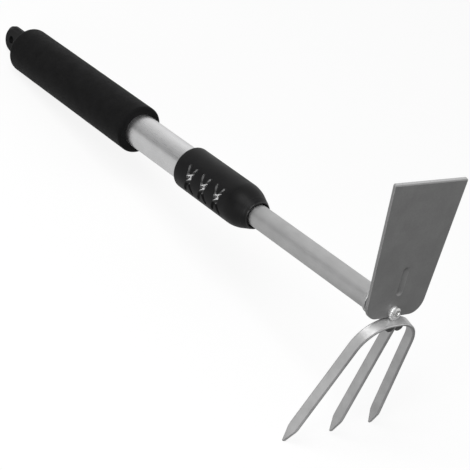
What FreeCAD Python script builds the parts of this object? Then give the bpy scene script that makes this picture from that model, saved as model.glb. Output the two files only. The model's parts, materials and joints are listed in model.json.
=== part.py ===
"""Telescopic double hoe: a flat blade above, a three-pronged fork below, and a twist-lock handle."""

import FreeCAD, Part
import math
import os
from FreeCAD import Rotation, Vector

# Units are millimetres and degrees. The pieces are drawn with the handle along X,
# from the butt to the head, with X = 0 at the grip's rear face and the blade up.

# Foam grip
grip_length = 155.0
grip_diameter = 36.0
grip_end_rounding = 2.0

# Outer tube
outer_tube_diameter = 25.0
outer_tube_wall = 1.0
bare_tube_length = 63.6
tube_cover_length = 36.0

# End cap
cap_flange_diameter = 28.0
cap_flange_thickness = 2.5
cap_plug_length = 20.0
cap_plug_wall = 2.4
cap_barb_count = 1
cap_barb_height = 0.6
cap_barb_length = 2.0
cap_barb_pitch = 8.0
cap_flange_rounding = 0.8
tab_width = 21.2
tab_thickness = 7.0
tab_reach = 32.0
tab_chamfer = 2.2
hang_hole_diameter = 6.0

# Twist collar
collar_diameter = 31.3
collar_barrel_length = 62.5
collar_taper_length = 13.9
collar_nose_diameter = 20.4
collar_mouth_diameter = 17.8
collar_nose_depth = 9.4
collar_edge_rounding = 1.2
collar_nose_chamfer = 0.5
collar_shoulder_rounding = 5.0
collar_thread_pitch = 3.0

# Crossed grip grooves, one row on each side of the collar
cross_count = 3
cross_pitch = 15.5
cross_first_offset = 17.5
cross_length = 8.8
cross_reach = 19.4
cross_groove_width = 2.1
cross_groove_depth = 0.9

# Collet
collet_stem_length = 28.0
collet_flange_length = 3.0
collet_neck_length = 14.0
collet_neck_diameter = 24.0
finger_root_diameter = 20.4
finger_tip_diameter = 18.4
finger_taper_length = 2.5
finger_slot_width = 1.6
finger_slot_count = 4
first_slot_angle = 45.0
finger_setback = 1.1
collet_pin_diameter = 3.0
collet_pin_depth = 3.2
collet_pin_setback = 17.0

# Clamp ring
clamp_ring_length = 10.0
clamp_ring_diameter = 22.8

# Inner tube and its guide
inner_tube_diameter = 16.0
inner_tube_wall = 1.0
bare_inner_length = 133.6
end_lip_diameter = 18.0
end_lip_length = 1.2
guide_bush_length = 24.0
retaining_ring_width = 1.5
retaining_ring_diameter = 20.8

# Head tang
tang_length = 30.0
stud_diameter = 6.5
stud_rise = 1.8
stud_reach = 3.6
stud_chamfer = 1.0
dimple_diameter = 2.4
dimple_floor_diameter = 1.2
dimple_depth = 1.4

# Hoe blade
blade_top_width = 61.8
blade_foot_width = 47.2
blade_height = 91.5
blade_drop = 2.2
blade_thickness = 2.0
blade_corner_radius = 10.5
blade_corner_clip = 0.8
bevel_height = 1.3
edge_thickness = 0.7
rib_low = 12.2
rib_high = 31.9
rib_back_radius = 6.0
rib_bulge = 0.9

# Fork, bent from flat strip, with the middle tine welded under the arch
strip_width = 8.1
strip_thickness = 2.2
strip_edge_chamfer = 0.7
arch_radius = 22.1
arch_flat = 6.4
arch_setback = 1.4
tine_splay = 9.7
tine_sweep = 15.4
tine_reach = 99.7
middle_tine_sweep = 13.8
middle_tine_length = 95.1
middle_tine_setback = 0.7
point_length = 13.0
point_width = 1.0

# Welds
blade_weld_leg = 2.2
tine_weld_reach = 5.0
tine_weld_drop = 5.2
tine_weld_inset = 0.8
stud_weld_radius = 1.5
stud_weld_length = 9.0
stud_weld_lead = 0.7
stud_weld_lift = 0.5

# Clearances
running_gap = 0.06
skirt_gap = 0.2
seat_gap = 0.3
face_gap = 0.1
overrun = 5.0
edge_tolerance = 0.05

# Flats that make up each turned rounding
rounding_flats = 1

full_turn = 360.0
axis_x = Vector(1, 0, 0)
axis_y = Vector(0, 1, 0)
axis_z = Vector(0, 0, 1)
origin = Vector(0, 0, 0)

# Radii and stations along the handle
tube_radius = outer_tube_diameter / 2
tube_bore_radius = tube_radius - outer_tube_wall
inner_radius = inner_tube_diameter / 2
inner_bore_radius = inner_radius - inner_tube_wall
collar_rear = grip_length + bare_tube_length
taper_start = collar_rear + collar_barrel_length
collar_mouth = taper_start + collar_taper_length
tube_front = collar_rear + tube_cover_length
neck_rear = tube_front + collet_flange_length
neck_front = neck_rear + collet_neck_length
nose_shoulder = collar_mouth - collar_nose_depth
ring_front = nose_shoulder - face_gap
ring_rear = ring_front - clamp_ring_length
finger_tip = ring_front - finger_setback
finger_shoulder = finger_tip - finger_taper_length
collet_rear = tube_front - collet_stem_length
guide_radius = inner_radius + running_gap
bush_rear = cap_plug_length + seat_gap
bush_front = bush_rear + guide_bush_length
retaining_rear = bush_front + face_gap
retaining_front = retaining_rear + retaining_ring_width
lip_rear = bush_rear + seat_gap
lip_front = lip_rear + end_lip_length
lip_pocket_depth = lip_front + face_gap - bush_rear
blade_back = collar_mouth + bare_inner_length
blade_front = blade_back + blade_thickness
blade_foot = -blade_drop
blade_top = blade_foot + blade_height

# Motion limits, counted from the locked and pushed-in position
extension_travel = collet_rear - retaining_front - seat_gap
collar_turn = full_turn / 2
collar_travel = collar_thread_pitch * collar_turn / full_turn

# The fork hangs from the middle of the arch's outer face. Its own frame has X across
# the strip, to the front, and Z back up the tines.
fork_turn = Rotation(axis_y, tine_sweep)
arch_back = Vector(blade_front - arch_setback, 0, blade_foot - seat_gap)
fork_root = arch_back + fork_turn.multVec(Vector(strip_width / 2, 0, 0))
fork_place = FreeCAD.Placement(fork_root, fork_turn)
splay = math.radians(tine_splay)
middle_root = fork_place.multVec(Vector(-middle_tine_setback, 0, -strip_thickness - face_gap))
middle_place = FreeCAD.Placement(middle_root, Rotation(axis_y, middle_tine_sweep))


def revolve(points):
    """Turn an outline of (station, radius) points about the handle's axis."""
    corners = [Vector(x, 0, r) for x, r in points]
    face = Part.Face(Part.makePolygon(corners + corners[:1]))
    return face.revolve(origin, axis_x, full_turn)


def rounded(corner, rear, front):
    """Points that round an outline's corner, whose ends lie the given steps before and after it."""
    points = []
    for number in range(rounding_flats + 1):
        turn = math.pi / 2 * number / rounding_flats
        into, out = 1 - math.sin(turn), 1 - math.cos(turn)
        points.append((
            corner[0] + rear[0] * into + front[0] * out,
            corner[1] + rear[1] * into + front[1] * out,
        ))
    return points


def disc(radius, start, end):
    """A solid cylinder on the handle's axis."""
    return Part.makeCylinder(radius, end - start, Vector(start, 0, 0), axis_x)


def slab(low, high):
    """A box between two opposite corners."""
    size = high - low
    return Part.makeBox(size.x, size.y, size.z, low)


def prism(points, sweep):
    """A straight prism from a flat outline of points."""
    return Part.Face(Part.makePolygon(points + points[:1])).extrude(sweep)


def round_edges(shape, radius, chosen):
    """Round the edges that the given test picks."""
    return shape.makeFillet(radius, [edge for edge in shape.Edges if chosen(edge)])


def make_foam_grip():
    radius = grip_diameter / 2
    inward = (0, -grip_end_rounding)
    outline = [(0, tube_radius)]
    outline += rounded((0, radius), inward, (grip_end_rounding, 0))
    outline += rounded((grip_length, radius), (-grip_end_rounding, 0), inward)
    outline += [(grip_length, tube_radius)]
    return revolve(outline)


def collet_pin_bores():
    """The two cross holes that the collet pins fill, one on each side."""
    station = tube_front - collet_pin_setback
    foot = tube_radius - collet_pin_depth
    bores = []
    for side in (axis_y, -axis_y):
        start = Vector(station, 0, 0) + side * foot
        bores.append(Part.makeCylinder(collet_pin_diameter / 2, collet_pin_depth, start, side))
    return bores


def make_outer_tube():
    tube = disc(tube_radius, 0, tube_front).cut(disc(tube_bore_radius, 0, tube_front))
    crossing = Part.makeCylinder(
        collet_pin_diameter / 2,
        outer_tube_diameter,
        Vector(tube_front - collet_pin_setback, -tube_radius, 0),
        axis_y,
    )
    return tube.cut(crossing)


def make_collet_pins():
    skin = disc(tube_radius, 0, tube_front)
    return Part.makeCompound([bore.common(skin) for bore in collet_pin_bores()])


def cap_plug():
    """The hollow plug with soft barbs that bite in the tube's bore."""
    core = tube_bore_radius - cap_barb_height
    outline = [(0, 0), (0, core)]
    for number in range(1, cap_barb_count + 1):
        crest = number * cap_barb_pitch
        outline += [(crest, core), (crest, tube_bore_radius), (crest + cap_barb_length, core)]
    outline += [(cap_plug_length, core), (cap_plug_length, core - cap_plug_wall)]
    outline += [(cap_plug_wall, core - cap_plug_wall), (cap_plug_wall, 0)]
    return revolve(outline)


def hang_tab():
    """The flat round-ended tab with its hanging hole."""
    half_width = tab_width / 2
    centre = Vector(half_width - tab_reach, -tab_thickness / 2, 0)
    eye = Part.makeCylinder(half_width, tab_thickness, centre, axis_y)
    web = slab(
        Vector(centre.x, -tab_thickness / 2, -half_width),
        Vector(-cap_flange_thickness / 2, tab_thickness / 2, half_width),
    )
    tab = eye.fuse(web).removeSplitter()
    rim = [edge for edge in tab.Edges
           if edge.BoundBox.YLength < edge_tolerance and edge.BoundBox.XLength > edge_tolerance]
    tab = tab.makeChamfer(tab_chamfer, rim)
    return tab.cut(Part.makeCylinder(hang_hole_diameter / 2, tab_thickness, centre, axis_y))


def make_end_cap():
    rim = (-cap_flange_thickness, cap_flange_diameter / 2)
    outline = [(-cap_flange_thickness, 0)]
    outline += rounded(rim, (0, -cap_flange_rounding), (cap_flange_rounding, 0))
    outline += [(0, cap_flange_diameter / 2), (0, 0)]
    flange = revolve(outline)
    return flange.fuse([hang_tab(), cap_plug()]).removeSplitter()


def cross_grooves(station):
    """Two crossed pairs of grooves, one on each side, sunk to an even depth in the collar."""
    radius = collar_diameter / 2
    outside = radius + overrun
    lean = math.degrees(math.atan2(cross_reach, cross_length))
    length = math.hypot(cross_reach, cross_length)
    bars = []
    for tilt in (lean, -lean):
        bar = slab(
            Vector(-length / 2, -outside, -cross_groove_width / 2),
            Vector(length / 2, outside, cross_groove_width / 2),
        )
        bar.rotate(origin, axis_y, tilt)
        bar.translate(Vector(station, 0, 0))
        bars.append(bar)
    core = disc(radius - cross_groove_depth, station - length, station + length)
    return bars[0].fuse(bars[1]).cut(core)


def make_twist_collar():
    radius = collar_diameter / 2
    skirt = tube_radius + skirt_gap
    thread = collet_neck_diameter / 2 + running_gap
    housing = clamp_ring_diameter / 2 + face_gap
    mouth = collar_mouth_diameter / 2
    thread_start = neck_rear + seat_gap
    thread_end = neck_front + collar_travel + seat_gap
    rear_step = (0, -collar_edge_rounding)
    nose_radius = collar_nose_diameter / 2
    shoulder = collar_shoulder_rounding
    taper_slope = (nose_radius - radius) / (collar_taper_length - collar_nose_chamfer)
    down_the_taper = (shoulder, shoulder * taper_slope)
    shell = revolve([
        (collar_rear, skirt),
        *rounded((collar_rear, radius), rear_step, (collar_edge_rounding, 0)),
        *rounded((taper_start, radius), (-shoulder, 0), down_the_taper),
        (collar_mouth - collar_nose_chamfer, nose_radius),
        (collar_mouth, nose_radius - collar_nose_chamfer),
        (collar_mouth, mouth),
        (nose_shoulder, mouth),
        (nose_shoulder, housing),
        (thread_end, housing),
        (thread_end, thread),
        (thread_start, thread),
        (thread_start, skirt),
    ])
    for number in range(cross_count):
        station = collar_rear + cross_first_offset + number * cross_pitch
        shell = shell.cut(cross_grooves(station))
    return shell


def make_collet():
    body = revolve([
        (collet_rear, guide_radius),
        (collet_rear, tube_bore_radius),
        (tube_front, tube_bore_radius),
        (tube_front, tube_radius),
        (neck_rear, tube_radius),
        (neck_rear, collet_neck_diameter / 2),
        (neck_front, collet_neck_diameter / 2),
        (neck_front, finger_root_diameter / 2),
        (finger_shoulder, finger_root_diameter / 2),
        (finger_tip, finger_tip_diameter / 2),
        (finger_tip, guide_radius),
    ])
    slot_start = (neck_rear + neck_front) / 2
    for number in range(finger_slot_count):
        slot = slab(
            Vector(slot_start, -finger_slot_width / 2, 0),
            Vector(finger_tip + overrun, finger_slot_width / 2, tube_radius),
        )
        slot.rotate(origin, axis_x, first_slot_angle + number * full_turn / finger_slot_count)
        body = body.cut(slot)
    for bore in collet_pin_bores():
        body = body.cut(bore)
    return body


def make_clamp_ring():
    rear_bore = finger_root_diameter / 2 + running_gap
    front_bore = finger_tip_diameter / 2 + running_gap
    outer = clamp_ring_diameter / 2
    return revolve([
        (ring_rear, rear_bore),
        (ring_rear, outer),
        (ring_front, outer),
        (ring_front, front_bore),
        (finger_tip, front_bore),
        (finger_shoulder, rear_bore),
    ])


def make_guide_bush():
    outer = tube_bore_radius - running_gap
    pocket = end_lip_diameter / 2 + running_gap
    pocket_front = bush_rear + lip_pocket_depth
    return revolve([
        (bush_rear, pocket),
        (bush_rear, outer),
        (bush_front, outer),
        (bush_front, guide_radius),
        (pocket_front, guide_radius),
        (pocket_front, pocket),
    ])


def make_retaining_ring():
    outer = retaining_ring_diameter / 2
    return disc(outer, retaining_rear, retaining_front).cut(
        disc(inner_radius, retaining_rear, retaining_front))


def make_inner_tube():
    return revolve([
        (lip_rear, inner_bore_radius),
        (lip_rear, end_lip_diameter / 2),
        (lip_front, end_lip_diameter / 2),
        (lip_front, inner_radius),
        (blade_back, inner_radius),
        (blade_back, inner_bore_radius),
    ])


def stud(radius, end):
    """The tang's round stud, from the blade's back to the given station."""
    return Part.makeCylinder(radius, end - blade_back, Vector(blade_back, 0, stud_rise), axis_x)


def tang_lip():
    """The half-moon lip that the blade's foot stands on, cut square to the arch's edge."""
    lip = disc(inner_bore_radius, blade_back, blade_front + overrun)
    above = slab(
        Vector(blade_back, -tube_radius, blade_foot),
        Vector(blade_front + overrun, tube_radius, tube_radius),
    )
    cutters = [above]
    for place in (fork_place, middle_place):
        ahead = slab(
            Vector(-strip_width / 2, -tube_radius, -tube_radius),
            Vector(strip_width, tube_radius, tube_radius),
        )
        ahead.Placement = place
        cutters.append(ahead)
    return lip.cut(cutters)


def make_head_tang():
    end = blade_front + stud_reach
    radius = stud_diameter / 2
    pin = stud(radius, end)
    rim = [edge for edge in pin.Edges if edge.BoundBox.XMin > end - edge_tolerance]
    pin = pin.makeChamfer(stud_chamfer, rim)
    dimple = Part.makeCone(
        dimple_floor_diameter / 2,
        dimple_diameter / 2,
        dimple_depth,
        Vector(end - dimple_depth, 0, stud_rise),
        axis_x,
    )
    plug = disc(inner_bore_radius, blade_back - tang_length, blade_back)
    return plug.fuse([pin, tang_lip()]).removeSplitter().cut(dimple)


def rib_bar(radius, centre):
    """A round-ended bar upright on the blade's centre line."""
    front_radius = rib_back_radius - blade_thickness
    ahead = centre - blade_front
    end = math.sqrt(front_radius ** 2 - ahead ** 2)
    low = Vector(centre, 0, rib_low + end)
    high = Vector(centre, 0, rib_high - end)
    bar = Part.makeCylinder(radius, high.z - low.z, low, axis_z)
    return bar.fuse([Part.makeSphere(radius, low), Part.makeSphere(radius, high)])


def make_hoe_blade():
    top = blade_top_width / 2
    foot = blade_foot_width / 2
    outline = [
        Vector(blade_back, -foot, blade_foot),
        Vector(blade_back, foot, blade_foot),
        Vector(blade_back, top, blade_top),
        Vector(blade_back, -top, blade_top),
    ]
    plate = prism(outline, axis_x * blade_thickness)

    def corner(height):
        return lambda edge: (edge.BoundBox.ZLength < face_gap
                             and edge.BoundBox.YLength < face_gap
                             and abs(edge.BoundBox.Center.z - height) < face_gap)

    plate = round_edges(plate, blade_corner_radius, corner(blade_foot))
    plate = plate.makeChamfer(
        blade_corner_clip, [edge for edge in plate.Edges if corner(blade_top)(edge)])
    bevel_foot = blade_top - bevel_height
    edge_station = blade_back + edge_thickness
    bevel = prism([
        Vector(blade_front, -top, bevel_foot),
        Vector(edge_station, -top, blade_top),
        Vector(edge_station, -top, blade_top + overrun),
        Vector(blade_front + overrun, -top, blade_top + overrun),
        Vector(blade_front + overrun, -top, bevel_foot),
    ], axis_y * blade_top_width)
    plate = plate.cut(bevel)
    rib_centre = blade_back - rib_bulge + rib_back_radius
    sheet = slab(
        Vector(blade_back - rib_back_radius, -foot, blade_foot),
        Vector(blade_front, foot, blade_top),
    )
    plate = plate.fuse(rib_bar(rib_back_radius, rib_centre).common(sheet)).removeSplitter()
    plate = plate.cut(rib_bar(rib_back_radius - blade_thickness, rib_centre))
    return plate.cut(stud(stud_diameter / 2, blade_front))


def make_blade_weld():
    bead = revolve([
        (blade_back - blade_weld_leg, inner_radius),
        (blade_back, inner_radius + blade_weld_leg),
        (blade_back, inner_radius),
    ])
    reach = inner_radius + blade_weld_leg
    below = slab(
        Vector(blade_back - blade_weld_leg, -reach, -reach),
        Vector(blade_back, reach, blade_foot),
    )
    return bead.cut(below)


def point_cutters(length):
    """The two wedges that leave a point at the end of a strip of the given length."""
    half = strip_width / 2
    tip = point_width / 2
    wedges = []
    for side in (1, -1):
        outline = [(tip, 0), (half, point_length), (half + overrun, point_length),
                   (half + overrun, -overrun), (tip, -overrun)]
        corners = [Vector(side * x, -overrun, z - length) for x, z in outline]
        wedges.append(prism(corners, axis_y * (overrun * 2)))
    return wedges


def arch_outline(radius):
    """One side of the arch and tine: flat end, arc middle, arc end and tip, at a radius."""
    centre = Vector(0, arch_flat / 2, -arch_radius)
    middle = (math.pi / 2 + splay) / 2
    flat_end = centre + Vector(0, 0, radius)
    arc_middle = centre + Vector(0, math.cos(middle), math.sin(middle)) * radius
    arc_end = centre + Vector(0, math.cos(splay), math.sin(splay)) * radius
    return flat_end, arc_middle, arc_end, arc_end + tine_direction() * leg_length()


def tine_direction():
    return Vector(0, math.sin(splay), -math.cos(splay))


def leg_length():
    """The straight length of an outer tine, from the arch's end to its tip."""
    middle_radius = arch_radius - strip_thickness / 2
    drop = tine_reach - arch_radius + middle_radius * math.sin(splay)
    return drop / math.cos(splay)


def mirrored(point):
    return Vector(point.x, -point.y, point.z)


def make_outer_tines():
    outer = arch_outline(arch_radius)
    inner = arch_outline(arch_radius - strip_thickness)
    edges = []
    for flip in (lambda point: point, mirrored):
        for path in (outer, inner):
            flat_end, arc_middle, arc_end, tip = [flip(point) for point in path]
            edges.append(Part.Arc(flat_end, arc_middle, arc_end).toShape())
            edges.append(Part.LineSegment(arc_end, tip).toShape())
        edges.append(Part.LineSegment(flip(outer[3]), flip(inner[3])).toShape())
    for path in (outer, inner):
        edges.append(Part.LineSegment(path[0], mirrored(path[0])).toShape())
    face = Part.Face(Part.Wire(Part.__sortEdges__(edges)))
    strip = face.extrude(axis_x * strip_width)
    strip.translate(axis_x * (-strip_width / 2))
    tip_height = -tine_reach
    rims = [edge for edge in strip.Edges
            if edge.BoundBox.XLength < edge_tolerance
            and edge.BoundBox.Center.z > tip_height + strip_thickness]
    strip = strip.makeChamfer(strip_edge_chamfer, rims)
    tip_middle = (outer[3] + inner[3]) / 2
    wedges = []
    for wedge in point_cutters(0):
        wedge.rotate(origin, axis_x, tine_splay)
        wedge.translate(tip_middle)
        wedges += [wedge, wedge.mirror(origin, axis_y)]
    strip = strip.cut(wedges)
    strip.Placement = fork_place
    return strip


def make_middle_tine():
    strip = slab(
        Vector(-strip_width / 2, -strip_thickness / 2, -middle_tine_length),
        Vector(strip_width / 2, strip_thickness / 2, 0),
    )
    rims = [edge for edge in strip.Edges if edge.BoundBox.ZLength > middle_tine_length / 2]
    strip = strip.makeChamfer(strip_edge_chamfer, rims)
    strip = strip.cut(point_cutters(middle_tine_length))
    strip.Placement = middle_place
    return strip.cut(disc(inner_radius + face_gap, blade_back - tang_length, blade_back + face_gap))


def make_tine_weld(tines):
    """Two fillet beads in the corners between the middle tine and the arch."""
    half = strip_thickness / 2
    width = strip_width - tine_weld_inset * 2
    beads = []
    for side in (1, -1):
        near = side * half
        far = side * (half + tine_weld_reach)
        bead = prism([
            Vector(-width / 2, near, -strip_thickness),
            Vector(-width / 2, far, -strip_thickness),
            Vector(-width / 2, near, -strip_thickness - tine_weld_drop),
        ], axis_x * width)
        bead.Placement = fork_place
        beads.append(bead.cut(tines))
    return Part.makeCompound(beads)


def make_stud_weld(tines, blade, tang):
    """The bead that ties the stud, the blade's foot and the arch together."""
    centre = Vector(
        blade_front + stud_weld_lead,
        -stud_weld_length / 2,
        blade_foot + stud_weld_lift,
    )
    bead = Part.makeCylinder(stud_weld_radius, stud_weld_length, centre, axis_y)
    remains = bead.cut([tines, blade, tang])
    return max(remains.Solids, key=lambda solid: solid.Volume)


def standing_lift():
    """How far the head rises when the outer tine tips and the grip's rear rim rest on a floor."""
    tip = Vector(point_width / 2, 0, -tine_reach - strip_thickness / 2 * math.sin(splay))
    touch = fork_place.multVec(tip)
    reach = touch - Vector(grip_end_rounding, 0, -grip_diameter / 2)
    return -math.degrees(math.atan2(reach.z, reach.x))


def standing_place(pieces):
    """Lift the head, then set the origin under the middle of the whole tool, on the floor."""
    lift = Rotation(axis_y, -standing_lift())
    stood = Part.makeCompound([piece.copy() for piece in pieces])
    stood.Placement = FreeCAD.Placement(origin, lift)
    box = stood.optimalBoundingBox(False)
    shift = Vector(-box.Center.x, 0, -box.ZMin)
    return FreeCAD.Placement(shift, lift)


def build():
    """Every piece, by name, along the handle's own axis."""
    tines = make_outer_tines()
    blade = make_hoe_blade()
    tang = make_head_tang()
    return {
        "foam_grip": make_foam_grip(),
        "outer_tube": make_outer_tube(),
        "end_cap": make_end_cap(),
        "collet": make_collet(),
        "collet_pins": make_collet_pins(),
        "clamp_ring": make_clamp_ring(),
        "twist_collar": make_twist_collar(),
        "guide_bush": make_guide_bush(),
        "retaining_ring": make_retaining_ring(),
        "inner_tube": make_inner_tube(),
        "head_tang": tang,
        "hoe_blade": blade,
        "blade_weld": make_blade_weld(),
        "outer_tines": tines,
        "middle_tine": make_middle_tine(),
        "tine_weld": make_tine_weld(tines),
        "stud_weld": make_stud_weld(tines, blade, tang),
    }


def write_parts():
    os.makedirs("parts", exist_ok=True)
    pieces = build()
    place = standing_place(pieces.values())
    for name, piece in pieces.items():
        stood = piece.copy()
        stood.Placement = place.multiply(piece.Placement)
        stood.exportStep("parts/" + name + ".step")
        print(name, len(stood.Solids), stood.isValid(), round(stood.Volume))
    print("lift", round(standing_lift(), 3), "travel", round(extension_travel, 2))
    return place


stand = write_parts()
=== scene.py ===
"""Finish and studio for a telescopic double hoe: flat blade above, three-pronged fork below."""

import json
import math

import bmesh
import bpy
from bpy.props import FloatProperty, FloatVectorProperty, IntProperty, PointerProperty
from mathutils import Matrix, Vector, noise


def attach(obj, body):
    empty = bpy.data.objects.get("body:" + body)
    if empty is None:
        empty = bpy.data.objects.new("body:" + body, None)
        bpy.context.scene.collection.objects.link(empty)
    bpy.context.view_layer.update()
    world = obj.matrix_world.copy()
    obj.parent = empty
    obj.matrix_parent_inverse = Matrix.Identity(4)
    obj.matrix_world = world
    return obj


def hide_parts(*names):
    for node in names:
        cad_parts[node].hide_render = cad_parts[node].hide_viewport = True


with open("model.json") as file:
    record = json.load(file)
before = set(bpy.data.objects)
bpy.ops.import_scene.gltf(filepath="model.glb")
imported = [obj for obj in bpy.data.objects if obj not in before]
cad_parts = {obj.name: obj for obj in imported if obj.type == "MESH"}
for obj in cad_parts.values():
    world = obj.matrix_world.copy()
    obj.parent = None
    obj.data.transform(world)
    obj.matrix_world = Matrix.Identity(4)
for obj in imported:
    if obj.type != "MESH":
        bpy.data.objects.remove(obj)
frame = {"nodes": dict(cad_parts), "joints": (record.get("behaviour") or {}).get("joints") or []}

bl_info = {
    "name": "Telescopic Double Hoe",
    "version": (1, 0, 0),
    "blender": (4, 5, 0),
    "location": "View3D > Sidebar > Double Hoe",
    "description": "Gives the packed double hoe its finishes and sets up its studio",
    "category": "Object",
}

MM = 0.001
FULL_TURN = 2 * math.pi

# How far lines are drawn out along the handle, to its left and above it
EVEN = (1, 1, 1)
DRAWN_LENGTHWISE = (40, 1, 1)
TURNED_ROUND = (1, 12, 12)
DOWN_THE_TINES = (1, 1, 25)
ROLLING_LINES = (1, 1, 14)
GRINDING_LINES = (1, 1, 12)
GRINDING_SLANT = math.radians(20)

# Sizes of the materials' patches and spots
SPECKS_PER_PATCH = 9
PLASTIC_CLOUD = 10.8 * MM
PLASTIC_HAZE = 2.25 * MM
GROUND_BLUR = 0.15 * MM
WELD_STAIN = 2.4 * MM
WELD_GRIT = 0.35 * MM

# Sockets of the Mix node, which share their names, so they go by number
MIX_SHARE = 0
MIX_NUMBERS = (2, 3)
MIX_COLOURS = (6, 7)
MIX_COLOUR_RESULT = 2

# Rays that look for an edge, and the studio's colour
BEVEL_SAMPLES = 6
WHITE = (1, 1, 1, 1)

# How finely the meshes are drawn
FINE_CREASE = math.radians(35)
COARSE_CREASE = math.radians(50)
FOAM_SIDES = 128
FOAM_RING_PITCH = 1.5 * MM
FOAM_BORE_GAP = 0.05 * MM
CRIMP_SIDES = 96
COLLAR_STEP = 2.5 * MM
GROOVE_STEP = 0.25 * MM
PLAIN_ANGLE_STEP = math.radians(5)

# Where the collar's faces are told apart
REAR_FACE = 0.1 * MM
SAME_RADIUS = 0.02 * MM
ROUND_OFF = 0.01 * MM
MOUTH_MARGIN = 2 * MM
REAR_MARGIN = 2 * MM
BARREL_MARGIN = 6 * MM
GROOVE_LIP = 0.12 * MM
RIM_REACH = 1.2
# The last finish is a painted glint, a bright patch on the groove faces at each crossing; the one
# before is rougher groove plastic, darkened as painted shade.
GRAINED, POLISHED, ROUGH_WITH_PAINTED_SHADE, PAINTED_GLINT = range(4)

# How the weld beads lie and swell, as shares of their own or the plain bead's sizes
BLADE_BEAD_RISE = 0.7
BLADE_BEAD_SETBACK = 0.75
TINE_BEAD_DROP = 0.45
TINE_BEAD_WIDTH = 1.35
TINE_BEAD_HEIGHT = 1.15
STUD_BEAD_RISE = 0.4
STUD_BEAD_LEAD = 0.8
STUD_BEAD_START = math.radians(105)
STUD_BEAD_END = math.radians(350)

# Where the light that metal reflects changes: on the floor along X, and round the room
FLOOR_BRIGHT_TO = 0.12
FLOOR_DIM_FROM = 0.3
DIM_SIDE_FROM = -0.32
BRIGHT_SIDE_FROM = 0.38
BACK_FULL = -0.96
BACK_GONE = -0.82

# Places and widths of the lamps, the point that they look at, and the camera's sensor
KEY_PLACE = (0.1, -0.9, 1.5)
KEY_WIDTH = 1.1
FILL_PLACE = (0.565, -1.182, 0.305)
FILL_WIDTH = 0.4
LAMP_AIM = (0, 0, 0.06)
SENSOR_WIDTH = 36.0


# The handle's own directions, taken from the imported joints


def joint(name):
    """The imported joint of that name."""
    return next(one for one in frame["joints"] if one["name"] == name)


ALONG = Vector(joint("telescope")["axis"]).normalized()
LEFT = Vector((0, 1, 0))
ABOVE = ALONG.cross(LEFT)
COLLAR_REAR = Vector(joint("collar_twist")["pos_m"])
LIFT = math.atan2(ALONG.z, ALONG.x)
HANDLE = Matrix.Translation(COLLAR_REAR) @ Matrix((ALONG, LEFT, ABOVE)).transposed().to_4x4()


def on_handle(node):
    """A CAD node's points in the handle's own space: along, to the left, above."""
    to_handle = HANDLE.inverted()
    return [to_handle @ vertex.co for vertex in frame["nodes"][node].data.vertices]


def span(points, direction=(1, 0, 0)):
    """The lowest and highest place of some points along a direction."""
    places = [point.dot(Vector(direction)) for point in points]
    return min(places), max(places)


def radii(points):
    """The smallest and largest distance of some points from the handle's axis."""
    distances = [math.hypot(point.y, point.z) for point in points]
    return min(distances), max(distances)


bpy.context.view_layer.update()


# What a user would change


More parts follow.
